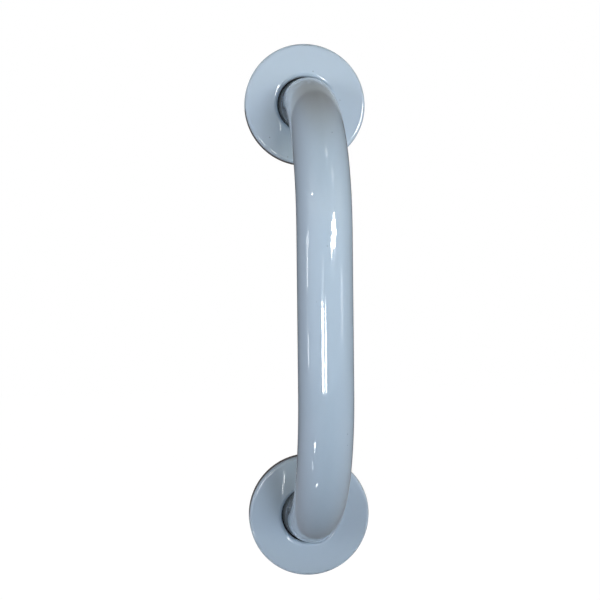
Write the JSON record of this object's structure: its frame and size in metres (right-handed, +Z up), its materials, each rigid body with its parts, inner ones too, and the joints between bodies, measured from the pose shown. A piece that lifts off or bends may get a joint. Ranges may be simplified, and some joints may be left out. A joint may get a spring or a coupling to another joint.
{
  "type": "wall grab bar",
  "caption": "Upright bent-tube grab bar for a bathroom wall, on round mounting plates hidden by pressed covers that slide off along the tube.",
  "frame": {"origin": "centre of the lower mounting plate, on its back face, which lies on the wall", "axes": "+Z up along the bar towards the upper plate, +Y into the wall, +X to the right of someone facing the wall"},
  "size_m": [0.085, 0.1175, 0.375],
  "materials": {
    "bar_coating": "gloss powder coat",
    "cover_coating": "gloss powder coat"
  },
  "bodies": {
    "bar": {"grab_tube": "bar_coating", "lower_mounting_plate": "bar_coating", "lower_weld_bead": "bar_coating", "upper_mounting_plate": "bar_coating", "upper_weld_bead": "bar_coating"},
    "lower_cover": {"lower_cover": "cover_coating"},
    "upper_cover": {"upper_cover": "cover_coating"}
  },
  "joints": [
    {"name": "lower_cover_slide", "type": "slide", "parent": "bar", "child": "lower_cover", "axis": [0, -1, 0], "range_m": [0, 0.008]},
    {"name": "upper_cover_slide", "type": "slide", "parent": "bar", "child": "upper_cover", "axis": [0, -1, 0], "range_m": [0, 0.008]}
  ]
}
